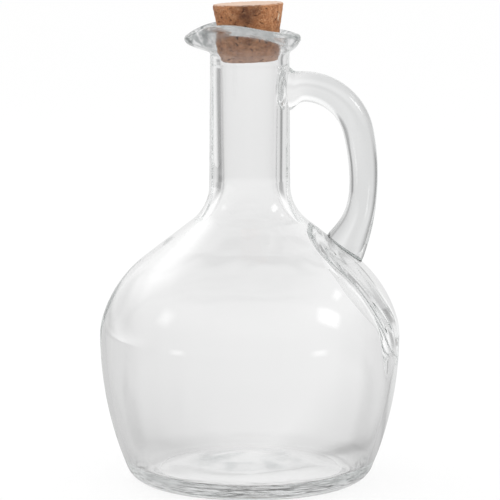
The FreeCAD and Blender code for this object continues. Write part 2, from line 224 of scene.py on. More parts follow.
# Lip tooled from the same glass, measured to the middle of its round rim
pouringLip = {
    "rimThickness": 3.4,
    "flare": 2.25,
    "height": 4.55,
    "rise": 5.6,
    "lean": 0.65,  # front of the lip above its middle, back below
    "spoutReach": 4.85,
    "spoutSharpness": 6,
    "spoutDip": 5.7,
    "dipSharpness": 8,
    "bowlShare": 0.57,  # slope where the underside leaves the neck, against the straight way
    "rimTouch": -25.0,  # where the underside meets the round rim
    "mouthSlope": 42.0,  # slope of the mouth below the rim
    "mouthFloor": 1.6,  # lowest end of the mouth's slope above the neck top
    "mouthBend": 0.45,  # share of that slope that turns into the bore
    "mouthRounding": 4.2,
    "underRounding": 1.1,  # soft corner under the lip
    "dents": (0.12, 7.0, 0.125),  # tool dents: depth, spacing, share of the lip where they set in
    "wallRings": 16,
    "rimRings": 22,
    "cornerRings": 8,
}


def bendRings(start, corner, end, count):
    # soft corner after the start up to the end, pulled towards the corner point
    share = np.linspace(0, 1, count)[1:, None, None]
    return (1 - share) ** 2 * start + 2 * share * (1 - share) * corner + share ** 2 * end


def lipRings(shape, lip, turns):
    share = (1 - np.cos(turns)) / 2
    neck, top, bore = shape["neckRadius"], shape["neckTop"], shape["boreRadius"]
    rim = np.stack((
        neck + lip["flare"] + lip["spoutReach"] * share ** lip["spoutSharpness"],
        top + lip["height"] + lip["rise"] * share - lip["spoutDip"] * share ** lip["dipSharpness"]
        - lip["lean"] * np.sin(turns),
    ), axis=-1)
    radius = lip["rimThickness"] / 2
    column = np.ones((len(turns), 1))

    def rimPoint(angle):
        return rim + radius * heading(angle)

    # underside: a small soft corner on the neck, then a bowl that turns up into the rim
    outerRoot = column * (neck, top)
    outerEnd = rimPoint(lip["rimTouch"])
    way = outerEnd - outerRoot
    leaving = lip["bowlShare"] * np.arctan2(way[:, 1], way[:, 0])
    under = np.stack((np.cos(leaving), np.sin(leaving)), axis=-1)
    rising = heading(lip["rimTouch"] + 90)
    fall = way[:, 1] * under[:, 0] - way[:, 0] * under[:, 1]
    fall = fall / (rising[1] * under[:, 0] - rising[0] * under[:, 1])
    bowl = outerEnd - rising * fall[:, None]
    outerStart = outerRoot - (0, lip["underRounding"])
    outerBend = outerRoot + under * lip["underRounding"]
    # mouth: a slope down from the rim that turns into the bore
    innerAngle = 90 + lip["mouthSlope"]
    innerEnd = rimPoint(innerAngle)
    fallTo = innerEnd[:, 1] - math.tan(math.radians(lip["mouthSlope"])) * (innerEnd[:, 0] - bore)
    fallTo = np.maximum(fallTo, top + lip["mouthFloor"])
    innerCorner = np.stack((column[:, 0] * bore, fallTo), axis=-1)
    innerBend = innerCorner + (innerEnd - innerCorner) * lip["mouthBend"]
    innerTurn = innerCorner - (0, lip["mouthRounding"])
    innerStop = column * (bore, top - lip["mouthRounding"])
    steps = np.linspace(0, 1, lip["wallRings"])[1:, None, None]
    sweep = np.linspace(lip["rimTouch"], innerAngle, lip["rimRings"])[1:]
    return np.concatenate((
        bendRings(outerStart, outerRoot, outerBend, lip["cornerRings"]),
        bendRings(outerBend, bowl, outerEnd, lip["wallRings"]),
        np.stack([rimPoint(angle) for angle in sweep]),
        innerEnd + (innerBend - innerEnd) * steps,
        bendRings(innerBend, innerCorner, innerTurn, lip["wallRings"]),
        (innerTurn + (innerStop - innerTurn) * steps)[:-1],
    ))


# Thick glass left inside the shoulder, behind the foot of the handle
pad = {
    "swellings": [  # turn, level of the middle, length, width, depth
        (-3.0, 69.2, 60.0, 44.0, 10.0),
        (-20.0, 64.0, 54.0, 18.0, 0.9),
        (6.0, 64.0, 46.0, 16.0, 0.9),
    ],
    "fullness": 1.3,  # 0.5 is a plain oval, more is softer at the edge
    "folds": (0.8, 6.0, 40.0, 0.5),  # along the slope: height, spacing across and along, seed
    "foldsFull": 5.0,  # depth of the pad from which they are full
}


def padDepth(shape, inner, turns):
    run = lengthAlong(inner)
    onShoulder = inner[:, 0] > shape["neckRadius"]
    depth = np.zeros((len(inner), len(turns)))
    for turn, height, length, width, deep in pad["swellings"]:
        middle = run[np.argmin(np.where(onShoulder, abs(inner[:, 1] - height), np.inf))]
        along = (run - middle)[:, None]
        across = inner[:, :1] * (turns - math.radians(turn))
        inside = np.clip(1 - (2 * along / length) ** 2 - (2 * across / width) ** 2, 0, 1)
        depth += deep * inside ** pad["fullness"]
    height, wide, long, seed = pad["folds"]
    across, along = np.broadcast_arrays(inner[:, :1] * turns / wide, run[:, None] / long)
    folds = noiseAt(np.stack((across, along, np.full_like(along, seed)), axis=-1))
    return depth + height * folds * np.minimum(1, depth / pad["foldsFull"])


# Slight unevenness of worked glass on the inside: amount, spacing across and up, seed
unevenness = {
    "body": (0.16, 24.0, 30.0, 3.7),
    "neck": (0.10, 7.0, 60.0, 8.1),
    "levels": (12.0, 32.0),  # sets in between these
    "ends": (4.0, 10.0),  # and ends between these, below the top of the neck
}


def wobble(points, amount, across, up, seed):
    return amount * noiseAt(points / (across, across, up) + (seed, 0, 0))


def gridFaces(rings, around):
    index = np.arange(rings * around).reshape(rings, around)
    after = np.roll(index, -1, axis=1)
    return np.stack((index[:-1], after[:-1], after[1:], index[1:]), axis=-1).reshape(-1, 4)


def closedMesh(name, points, caps):
    # rings of points as a tube, with one point closing each end
    rings, around = points.shape[:2]
    first, last, top = rings * around, rings * around + 1, (rings - 1) * around
    quads = gridFaces(rings, around)
    pairs = list(zip(range(around), [*range(1, around), 0]))
    fans = [(first, b, a) for a, b in pairs] + [(last, top + a, top + b) for a, b in pairs]
    faces = quads.tolist() + fans
    places = np.vstack((points.reshape(-1, 3), caps))
    corners = places[quads] - places.mean(axis=0)
    volume = np.einsum("ij,ij->i", corners[:, 0], np.cross(corners[:, 1], corners[:, 2])).sum()
    if volume < 0:
        faces = [face[::-1] for face in faces]
    mesh = bpy.data.meshes.new(name)
    mesh.from_pydata(places.tolist(), [], faces)
    mesh.update()
    mesh.shade_smooth()
    return mesh


def placeObject(name, mesh):
    piece = bpy.data.objects.new(name, mesh)
    scene.collection.objects.link(piece)
    return piece


def toolMarks(profile, turns, across, up, lean):
    # soft noise from 0 to 1, its levels leaning with the radius
    points = spin(profile, turns)
    points[..., 2] -= lean * profile[..., 0]
    return np.clip(0.5 + noiseAt(points / (across, across, up)), 0, 1)


def heelMarks(profile, turns):
    # shallow lines that run round the heel and come and go
    depth, around, up = vessel["heelRipple"]
    low = fade(profile[..., 1], *vessel["heelLevels"])
    wide = fade(profile[..., 0] / vessel["bodyRadius"], *vessel["heelReach"])
    return depth * toolMarks(profile, turns, around, up, 1) * low * wide


def neckMarks(profile, turns):
    # fine upright ridges
    height, width, end = vessel["ridgeSize"]
    level = profile[..., 1]
    values = np.zeros(level.shape)
    for turn, low, high in vessel["neckRidges"]:
        across = profile[..., 0] * wrapped(turns - math.radians(turn))
        ends = fade(level, low, low + end) * fade(level, high, high - end)
        values += height * np.exp(-(across / width) ** 2) * ends
    return values


def lipMarks(profile, turns):
    # soft dents of the tool that drew the lip out
    depth, spacing, start = pouringLip["dents"]
    share = np.linspace(0, 1, len(profile))
    ends = fade(np.minimum(share, 1 - share), 0, start)
    return depth * toolMarks(profile, turns, spacing, spacing, 0) * ends[:, None]


def makeVessel():
    around, neckTop = vessel["segments"], vessel["neckTop"]
    turns = turnsRound(around)
    outer = outerWall(vessel, neckTop - pouringLip["underRounding"])
    inner = innerWall(vessel, neckTop - pouringLip["mouthRounding"])
    lip = lipRings(vessel, pouringLip, turns)

    # inner wall, thinner on the shoulder and swollen behind the handle
    loss, level, reach = vessel["thinShoulder"]
    inward = -outwardOf(inner)
    thin = loss * np.exp(-((inner[:, 1] - level) / reach) ** 2)
    thin = thin * np.interp(inner[:, 0], vessel["thickNeck"], (0, 1))
    inner = inner - inward * thin[:, None]
    innerGrid = inner[:, None] + inward[:, None] * padDepth(vessel, inner, wrapped(turns))[..., None]
    # outer wall and lip with the marks of the tools
    outerGrid = np.repeat(outer[:, None], around, axis=1)
    marked = outer[:, 1] < vessel["heelLevels"][0]
    outerGrid[marked] -= outwardOf(outerGrid)[marked] * heelMarks(outerGrid[marked], turns)[..., None]
    outerGrid += outwardOf(outerGrid) * neckMarks(outerGrid, turns)[..., None]
    lip = lip - outwardOf(lip) * lipMarks(lip, turns)[..., None]
    points = spin(np.concatenate((outerGrid[1:], lip, innerGrid[:0:-1])), turns)

    # waves of the inner wall and the raised middle of the floor
    inside = points[1 - len(innerGrid):]
    across, depth, level = np.moveaxis(inside, -1, 0)
    bulge = wobble(inside, *unevenness["body"]) + wobble(inside, *unevenness["neck"])
    ends = [neckTop - below for below in unevenness["ends"]]
    calm = fade(level, *unevenness["levels"]) * fade(level, *ends)
    inside += spin(inward[:0:-1, None], turns) * (bulge * calm)[..., None]
    lift, reach, shift = vessel["kick"]
    away = np.hypot(across - shift, depth)
    level += (level < vessel["kickTop"]) * lift * np.exp(-(away / reach) ** 2)

    caps = np.array(((0, 0, outer[0, 1]), (0, 0, inner[0, 1])))
    caps[1, 2] += lift * math.exp(-(shift / reach) ** 2)
    return closedMesh("vessel", points * mm, caps * mm)


# Handle rod, measured to the middle of its oval section
handleRod = {
    "drop": 11.8,  # below the neck top
    "stem": 4.6,
    "bendRadius": 19.4,
    "bendSweep": 77.0,
    "gripRadius": 75.0,
    "bendThickness": 10.4,
    "gripThickness": 9.5,
    "slimShare": 0.5,  # share of the grip over which the rod thins
    "flatness": 0.3,  # how much narrower the rod is than it is thick
    "rootRise": (1.3, 1.2),  # flare above the root, and how far along the rod it runs
    "rootDrop": (3.0, 2.6),
    "footFlare": (5.4, 10.5),  # flare towards the neck at the foot
    "rootDepth": 1.5,  # how far the rod reaches into the neck's wall
    "footDepth": 1.4,  # and into the shoulder
    "weldReach": 3.0,  # how far round the weld the normals follow each surface
    "around": 128,
    "step": 0.45,
    "crowding": 0.24,  # how much closer the rings stand at both ends
    "fineStep": 0.05,  # spacing of the points on the middle line
    "halvings": 40,  # steps of the search for where the rod ends
}


def handleLine(shape, rod):
    # middle line in (x, z), distance along it, and where it meets neck and shoulder
    neck, fine = shape["neckRadius"], rod["fineStep"]
    level = shape["neckTop"] - rod["drop"]
    bendCentre = np.array((neck + rod["stem"], level - rod["bendRadius"]))
    turn = 90 - rod["bendSweep"]
    gripCentre = bendCentre + heading(turn) * (rod["bendRadius"] - rod["gripRadius"])
    *_, shoulder, slopeNormal = shoulderLine(shape, 0)
    drop = (shoulder - gripCentre) @ slopeNormal
    footTurn = 90 - shape["shoulderSlope"] - math.degrees(math.acos(drop / rod["gripRadius"]))
    stem = lineRun((0, level), (neck + rod["stem"], level), fine)
    bend = arcRun(bendCentre, rod["bendRadius"], 90, turn, fine)
    grip = arcRun(gripCentre, rod["gripRadius"], turn, footTurn, fine)
    weld = lineRun(grip[-1], grip[-1] + heading(footTurn - 90) * neck, fine)
    line = joinRuns([stem, bend, grip, weld])
    run = lengthAlong(line)
    marks = run[np.cumsum([len(part) - 1 for part in (stem, bend, grip)])]
    return line, run - neck, marks - neck, shoulder, slopeNormal


def makeHandle():
    rod = handleRod
    line, run, marks, shoulder, slopeNormal = handleLine(vessel, rod)
    upward = -outwardOf(line)
    foot = marks[2]
    angles = turnsRound(rod["around"])

    def fading(distance, flare):
        return flare[0] * np.exp(-(np.maximum(distance, 0) / flare[1]) ** 2)

    def rodPoint(places):
        # points at distances from the neck along the rod, one column for each angle round it
        thinned = np.clip((places - marks[1]) / (foot - marks[1]) / rod["slimShare"], 0, 1)
        slim = rod["bendThickness"] + (rod["gripThickness"] - rod["bendThickness"]) * thinned
        above = fading(places, rod["rootRise"])
        below = fading(places, rod["rootDrop"]) + fading(foot - places, rod["footFlare"])
        wide = (slim - rod["flatness"]) / 2
        middle, up = [np.stack([np.interp(places, run, way[:, axis]) for axis in (0, 1)], axis=-1)
                      for way in (line, upward)]
        across = (above - below) / 2 + np.cos(angles) * (slim + above + below) / 2
        flat = middle + up * across[..., None]
        return np.stack((flat[..., 0], np.sin(angles) * wide, flat[..., 1]), axis=-1)

    def solve(low, high, depth):
        # distance along the rod at which each line round it reaches a depth in the glass
        low, high = np.full(len(angles), low), np.full(len(angles), high)
        for _ in range(rod["halvings"]):
            middle = (low + high) / 2
            inside = depth(rodPoint(middle)) > 0
            low, high = np.where(inside, low, middle), np.where(inside, middle, high)
        return (low + high) / 2

    def underShoulder(points):
        reach = np.hypot(points[..., 0], points[..., 1]) - shoulder[0]
        rise = points[..., 2] - shoulder[1]
        return -(reach * slopeNormal[0] + rise * slopeNormal[1]) - rod["footDepth"]

    def overNeck(points):
        return np.hypot(points[..., 0], points[..., 1]) - sunk

    sunk = vessel["neckRadius"] - rod["rootDepth"]
    start = solve(-vessel["neckRadius"], rod["stem"], overNeck)
    end = solve(foot - rod["bendRadius"], foot + rod["bendRadius"], underShoulder)
    share = np.linspace(0, 1, math.ceil((foot + rod["stem"]) / rod["step"]))
    share = share - rod["crowding"] * np.sin(2 * math.pi * share) / (2 * math.pi)
    points = rodPoint(start + (end - start) * share[:, None])
    caps = np.array((points[0].mean(axis=0), points[-1].mean(axis=0)))
    caps[0, 0] = sunk
    return closedMesh("handle", points * mm, caps * mm)


def cornerNormals(mesh, sources):
    # smooth normals of each source surface, so that the weld keeps its crease
    cornerVertex = np.zeros(len(mesh.loops), dtype=np.int32)
    mesh.loops.foreach_get("vertex_index", cornerVertex)
    vertexNormals = np.array([item.vector for item in mesh.vertex_normals], dtype=np.float32)
    corners = vertexNormals[cornerVertex]
    part, totals = np.zeros((2, len(mesh.polygons)), dtype=np.int32)
    mesh.polygons.foreach_get("material_index", part)
    mesh.polygons.foreach_get("loop_total", totals)
    cornerPart = np.repeat(part, totals)
    owners = [set(cornerVertex[cornerPart == index].tolist()) for index in range(len(sources))]
    places = np.array([vertex.co for vertex in mesh.vertices])
    seam = places[list(owners[0] & owners[1])]
    reach = handleRod["weldReach"] * mm
    near = ((places >= seam.min(axis=0) - reach) & (places <= seam.max(axis=0) + reach)).all(axis=1)
    for index, source in enumerate(sources):
        points = [vertex.co.copy() for vertex in source.vertices]
        faces = [tuple(face.vertices) for face in source.polygons]
        normals = np.array([item.vector for item in source.vertex_normals])
        tree = BVHTree.FromPolygons(points, faces)
        smooth = vertexNormals.copy()
        for vertex in owners[index]:
            if near[vertex]:
                spot, _, face, _ = tree.find_nearest(Vector(places[vertex]))
                weights = poly_3d_calc([points[v] for v in faces[face]], spot)
                normal = np.array(weights) @ normals[list(faces[face])]
                smooth[vertex] = normal / np.linalg.norm(normal)
        mine = cornerPart == index
        corners[mine] = smooth[cornerVertex[mine]]
    return corners


def weldHandle(vesselMesh, handleMesh):
    body = placeObject("weldBody", vesselMesh)
    rod = placeObject("weldRod", handleMesh)
    for piece, index in ((body, 0), (rod, 1)):
        for _ in range(2):
            piece.data.materials.append(None)
        piece.data.polygons.foreach_set("material_index", np.full(len(piece.data.polygons), index))
    union = body.modifiers.new("weld", "BOOLEAN")
    union.operation = "UNION"
    union.solver = "EXACT"
    union.object = rod
    bpy.context.view_layer.update()
    depsgraph = bpy.context.evaluated_depsgraph_get()
    mesh = bpy.data.meshes.new_from_object(body.evaluated_get(depsgraph))
    mesh.name = "glassBottle"
    bpy.data.objects.remove(body)
    bpy.data.objects.remove(rod)
    mesh.shade_smooth()
    mesh.normals_split_custom_set(cornerNormals(mesh, (vesselMesh, handleMesh)).tolist())
    mesh.polygons.foreach_set("material_index", np.zeros(len(mesh.polygons), dtype=np.int32))
    mesh.materials.clear()
    return mesh


def addNode(tree, kind, feeds=None, **settings):
    # each socket is fed by a link from another node, or with a plain value
    node = tree.nodes.new("ShaderNode" + kind)
    for name, value in settings.items():
        setattr(node, name, value)
    for socket, value in (feeds or {}).items():
        if isinstance(value, bpy.types.NodeSocket):
            tree.links.new(value, node.inputs[socket])
        else:
            node.inputs[socket].default_value = value
    return node


def addMath(tree, operation, *values, clamp=False):
    feeds = dict(enumerate(values))
    return addNode(tree, "Math", feeds, operation=operation, use_clamp=clamp).outputs[0]


def addProduct(tree, first, *others):
    for other in others:
        first = addMath(tree, "MULTIPLY", first, other)
    return first


def addRange(tree, value, low, high, start, end):
    feeds = {"Value": value, "From Min": low, "From Max": high, "To Min": start, "To Max": end}
    return addNode(tree, "MapRange", feeds, interpolation_type="SMOOTHSTEP").outputs["Result"]


def addFade(tree, value, edges, start=0, end=1):
    # from start to end between two edges in millimetres
    return addRange(tree, value, edges[0] * mm, edges[1] * mm, start, end)


def addBand(tree, value, edges):
    # 1 between the middle edges, 0 outside the outer ones, in millimetres
    return addProduct(tree, addFade(tree, value, edges[:2]), addFade(tree, value, edges[2:], 1, 0))


def addBlend(tree, share, first, second):
    # number that goes from the first to the second
    return addNode(tree, "Mix", {"Factor": share, "A": first, "B": second}).outputs["Result"]


def addTint(tree, share, first, second):
    # colour that goes from the first to the second, which are sockets 6 and 7
    first, second = [(*colour, 1) if isinstance(colour, tuple) else colour for colour in (first, second)]
    return addNode(tree, "Mix", {0: share, 6: first, 7: second}, data_type="RGBA").outputs[2]


def addLayers(tree, colour, look, layers):
    # named colours of a look over one another, each by its share
    for share, name in layers:
        colour = addTint(tree, share, colour, look[name])
    return colour


def addRamp(tree, share, stops):
    # grey level or colour along a share from 0 to 1
    node = addNode(tree, "ValToRGB", {0: share})
    elements = node.color_ramp.elements
    while len(elements) < len(stops):
        elements.new(0.5)
    for element, (position, shade) in zip(elements, stops):
        element.position = position
        element.color = (*(shade if isinstance(shade, tuple) else (shade,) * 3), 1)
    return node.outputs["Color"]


def addSplit(tree, place):
    return addNode(tree, "SeparateXYZ", {0: place}).outputs


def addTurn(tree, place):
    # share of the way round for a place or a way, from its X and Y
    angle = addMath(tree, "ARCTAN2", place["X"], place["Y"])
    return addMath(tree, "MULTIPLY_ADD", angle, 1 / (2 * math.pi), 0.5)


def addRing(tree, turn, ring):
    return addRamp(tree, turn, [(azimuth / 360 + 0.5, level) for azimuth, level in ring])


def addNoise(tree, place, spacing, detail=2.0, distortion=0.0):
    # soft noise whose spots are about the spacing apart, in millimetres
    feeds = {"Vector": place, "Scale": 1 / (spacing * mm), "Detail": detail, "Distortion": distortion}
    return addNode(tree, "TexNoise", feeds).outputs["Fac"]


def addPatches(tree, place, pattern):
    # share that follows a noise: its spacing, detail and distortion, then its two levels and their shares
    spread, levels = pattern
    return addRange(tree, addNoise(tree, place, *spread), *levels)


def addPlace(tree):
    # place on the object, its parts, and its distance from the axis
    where = addNode(tree, "TexCoord").outputs["Object"]
    across, depth, height = addSplit(tree, where)
    squares = [addProduct(tree, side, side) for side in (across, depth)]
    return where, across, depth, height, addMath(tree, "SQRT", addMath(tree, "ADD", *squares))


def emptyTree(owner):
    owner.use_nodes = True
    owner.node_tree.nodes.clear()
    return owner.node_tree


def newMaterial(name):
    material = bpy.data.materials.new(name)
    return material, emptyTree(material)


# Clear glass: tints, and between which levels, sides and distances from the axis they lie
clearGlass = {
    "tint": (1, 1, 1),
    "depthColour": (0.60, 0.64, 0.63, 1),  # what long ways through the glass take on
    "depthDensity": 3.0,  # per metre
    "ior": 1.5,
    "shadowTint": (0.93, 0.94, 0.94, 1),
    "lipHaze": 0.16,  # roughness that the tool left on the lip
    "hazeStart": (146.8, 148.4),
    "hazeSides": (-18.0, -13.0, 11.0, 16.0),
    "hazePatches": ((3.5,), (0.38, 0.60, 0.5, 1)),
    "lipShade": (0.26, 0.28, 0.28),  # painted shade that greys the thick worked glass of the lip
    "lipLevels": (149.3, 151.0),
    "lipTips": (9.0, 16.0),  # darker towards both ends
    "lipMiddle": 0.42,  # share of the tint between them
    "lipStreaks": ((3.5, 1.0, 1.5), (0.40, 0.62, 0.15, 1)),
    "heelShadeTint": (0.07, 0.07, 0.07),  # painted shade in dark lines on the front of the heel
    "heelShadeLevels": (1.4, 2.6, 4.4, 9.0),
    "heelRoundReach": (35.0, 37.0),
    "heelShadeFront": (-4.0, 10.0),  # fades out towards the back
    "heelShadeSpacing": (6.0, 6.0, 0.38),  # long round the heel, short up it
    "heelShadeGrain": ((1.0, 4.0), (0.46, 0.62, 0, 1)),
    "stipple": (0.12, 0.9),  # fine bumps of the heel: height and spacing
    "stippleLevels": (3.0, 6.0),
    "swirlShade": (0.68, 0.70, 0.70),  # painted shade in a swirl on the middle of the base
    "swirlReach": (4.0, 11.0, 14.0, 23.0),
    "swirlLevels": (3.6, 4.2, 10.0, 12.0),  # on the inner floor only
    "swirlCurl": ((22.0, 1.0, 1.5), (0.40, 0.60, 0, 1)),
    "rodShade": (0.90, 0.905, 0.905),  # painted shade that greys the solid glass of the handle
    "rodStart": (14.0, 24.0),
    "rodRise": (0.02, 0.06),  # height over the shoulder at which the rod sets in
    # painted shade of the crease under the foot of the handle
    "creaseShade": (0.05, 0.05, 0.05),
    "creaseHeight": (0.28, 0.85),  # over the shoulder, at the inner and at the outer side of the foot
    "creaseSides": (36.0, 39.5),  # sides between which it grows
    "creaseStart": (23.0, 25.0),
    "creaseFades": (0.6, 1.0),  # shares of its height
}


def glassTint(tree):
    look = clearGlass
    where, across, depth, height, reach = addPlace(tree)
    # faint painted shade in a swirl in the middle of the base
    swirl = addProduct(
        tree, addBand(tree, height, look["swirlLevels"]), addBand(tree, reach, look["swirlReach"]),
        addPatches(tree, where, look["swirlCurl"]))
    # painted shade that greys the lip, in soft streaks
    tips = addFade(tree, addMath(tree, "ABSOLUTE", across), look["lipTips"], look["lipMiddle"])
    streaks = addPatches(tree, where, look["lipStreaks"])
    lip = addProduct(tree, addFade(tree, height, look["lipLevels"]), tips, streaks)
    # painted shade in mottled lines on the round of the heel, darkest at the front
    stretch = addNode(tree, "VectorMath", {0: where, 1: look["heelShadeSpacing"]}, operation="DIVIDE")
    grain = addPatches(tree, stretch.outputs[0], look["heelShadeGrain"])
    heelShade = addProduct(
        tree, addBand(tree, height, look["heelShadeLevels"]), addFade(tree, reach, look["heelRoundReach"]),
        addFade(tree, depth, look["heelShadeFront"], 1, 0), grain)
    # painted shade that greys the rod, above the shoulder
    *_, shoulder, normal = shoulderLine(vessel, 0)
    rise = addMath(tree, "ADD", addProduct(tree, reach, normal[0]), addProduct(tree, height, normal[1]))
    rise = addMath(tree, "SUBTRACT", rise, shoulder @ normal * mm)
    lifted = addFade(tree, rise, look["rodRise"])
    rod = addProduct(tree, addFade(tree, across, look["rodStart"]), lifted)
    # painted shade: a dark line in the crease where the foot of the handle meets the shoulder
    top = addFade(tree, across, look["creaseSides"], *[tall * mm for tall in look["creaseHeight"]])
    soft = addRange(tree, addMath(tree, "DIVIDE", rise, top), *look["creaseFades"], 1, 0)
    dark = addProduct(tree, soft, lifted, addFade(tree, across, look["creaseStart"]))
    return addLayers(tree, look["tint"], look, [
        (swirl, "swirlShade"), (lip, "lipShade"), (heelShade, "heelShadeTint"), (rod, "rodShade"), (dark, "creaseShade"),
    ])


def lipHaze(tree):
    # uneven haze of the tool along the lip, the tips and the rest are clear
    where, across, _, height, _ = addPlace(tree)
    lip = addFade(tree, height, clearGlass["hazeStart"], 0, clearGlass["lipHaze"])
    patches = addPatches(tree, where, clearGlass["hazePatches"])
    return addProduct(tree, lip, addBand(tree, across, clearGlass["hazeSides"]), patches)


def heelStipple(tree):
    where, _, _, height, reach = addPlace(tree)
    bumpHeight, spacing = clearGlass["stipple"]
    low = addFade(tree, height, clearGlass["stippleLevels"], 1, 0)
    rim = addFade(tree, reach, clearGlass["heelRoundReach"])
    bumps = addProduct(tree, low, rim, addNoise(tree, where, spacing))
    return addNode(tree, "Bump", {"Distance": bumpHeight * mm, "Height": bumps}).outputs[0]


def glassMaterial():
    material, tree = newMaterial("clearGlass")
    glass = addNode(tree, "BsdfPrincipled", {
        "Base Color": glassTint(tree),
        "Roughness": lipHaze(tree),
        "Normal": heelStipple(tree),
        "IOR": clearGlass["ior"],
        "Transmission Weight": 1,
    })
    through = addNode(tree, "BsdfTransparent", {"Color": clearGlass["shadowTint"]})
    shadow = addNode(tree, "LightPath").outputs["Is Shadow Ray"]
    mix = addNode(tree, "MixShader", {0: shadow, 1: glass.outputs[0], 2: through.outputs[0]})
    depth = addNode(tree, "VolumeAbsorption", {
        "Color": clearGlass["depthColour"],
        "Density": clearGlass["depthDensity"],
    })
    addNode(tree, "OutputMaterial", {"Surface": mix.outputs[0], "Volume": depth.outputs[0]})
    return material


vesselMesh = makeVessel()
handleMesh = makeHandle()
print("glass made,", len(vesselMesh.vertices), "points on the vessel,",
      len(handleMesh.vertices), "on the rod")
glassBottle = placeObject("glassBottle", weldHandle(vesselMesh, handleMesh))
glassBottle.data.materials.append(glassMaterial())
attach(glassBottle, "bottle")
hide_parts("glass_bottle", "glass_handle")
print("handle welded,", len(glassBottle.data.polygons), "faces")

# Natural cork, measured from the top of the neck along its own leaning axis
cork = {
    "sunk": 2.9,
    "waist": 7.6,
    "rise": 16.58,
    "seatRadius": 9.85,
    "lowTaper": 5.7,
    "topTaper": 9.9,
    "edge": 0.5,
    "tilt": 2.2,
    "cutSlant": 0.35,  # front of the cut face above its middle, back below
    "axisGap": 0.3,  # radius of the innermost ring of both ends
    "around": 400,
    "step": 0.17,
    "endStep": 2,  # wider rings on both ends
    "seed": 11,
    "grain": (0.12, 1.3, 1.0, 2.0, 3),  # depth and spacing, then fall-off, gap and number of octaves
    "pores": 300,
    "poreLength": (0.4, 2.0),
    "poreWidth": (0.22, 0.5),
    "poreDepth": (0.15, 0.55),
    "poreRange": (-4.0, 8.0),  # past the lower and the upper edge, onto the ends
    "poreLean": 0.6,
    "poreHollow": 0.7,  # 0.5 is a round hollow, more is sharper
    "sideFacing": 0.9,  # how squarely the side faces out
    "chips": 9,  # along the rear half of the upper edge
    "chipSize": (0.6, 1.6),
    "chipDepth": (0.2, 0.55),
    "chipShape": (1.0, 0.6),  # shares of the size along the edge and down
    "chipHollow": 0.5,
    "brokenSide": (-24, -13, -5, 3, 9),  # turns of the chips that run down the right side
    "brokenShape": (0.5, 1.3),
    "brokenDrop": 7.0,
    "markGain": 2.0,  # how soon pores and chips take their full shade
    "browns": [(0.34, (0.12, 0.040, 0.014)), (0.45, (0.33, 0.125, 0.046)),
               (0.55, (0.46, 0.195, 0.080)), (0.66, (0.62, 0.33, 0.17))],
    "mottle": [(5.0, 5.0, 0.8), (0.7, 3.0, 1.5)],  # noises: spacing, detail and distortion
    "mottleShare": 0.5,
    "fibre": (0.68, 0.40, 0.21),
    "fibreCurl": (2.4, 1.0, 2.5),
    "fibreWidth": (0.006, 0.04),
    "fibreSpacing": 2.0,
    "hollow": (0.075, 0.026, 0.012),
    "specks": (0.75, 0.12, 0.30, 0.8),  # spacing, core and edge of each, and its shade
    "speckPatches": ((3.0,), (0.42, 0.60, 0, 1)),
    "broken": (0.72, 0.58, 0.43),
    "brokenPatches": ((0.8,), (0.35, 0.60, 0.3, 1)),
    # paler cut face, also painted light where it faces up
    "cutFaceAndTopLight": (0.80, 0.61, 0.49),
    "cutFacing": (0.5, 0.9, 0, 0.85),  # how far a face looks up, and the share of that colour
    "paleEnd": (0.60, 0.42, 0.34),  # paler lower end
    "paleLevels": (147.0, 151.5),
    "paleShare": 0.45,
    "stain": (0.085, 0.030, 0.014),
    "stainPlace": (-1.2, -11.8, 162.3),
    "stainReach": (1.0, 7.0),
    "stainShare": 1.5,
    "stainNoise": (2.5, 3.0),
    "roughness": 0.85,
    "bump": (0.15, 0.5, 0.45, 3.0),  # height, strength, spacing and detail
}


def corkProfile():
    low, high = math.tan(math.radians(cork["lowTaper"])), math.tan(math.radians(cork["topTaper"]))
    waist = cork["seatRadius"] + cork["waist"] * low
    foot = np.array((cork["seatRadius"] - cork["sunk"] * low, -cork["sunk"]))
    head = np.array((waist + (cork["rise"] - cork["waist"]) * high, cork["rise"]))
    edge, step, gap = cork["edge"], cork["step"], cork["axisGap"]
    wide = step * cork["endStep"]
    corners = [
        (gap, foot[1]), foot - (edge, 0), foot + (edge * low, edge), (waist, cork["waist"]),
        head - (edge * high, edge), head - (edge, 0), (gap, head[1]),
    ]
    steps = [wide, step, step, step, step, wide]
    return joinRuns([lineRun(*ends) for ends in zip(corners, corners[1:], steps)])


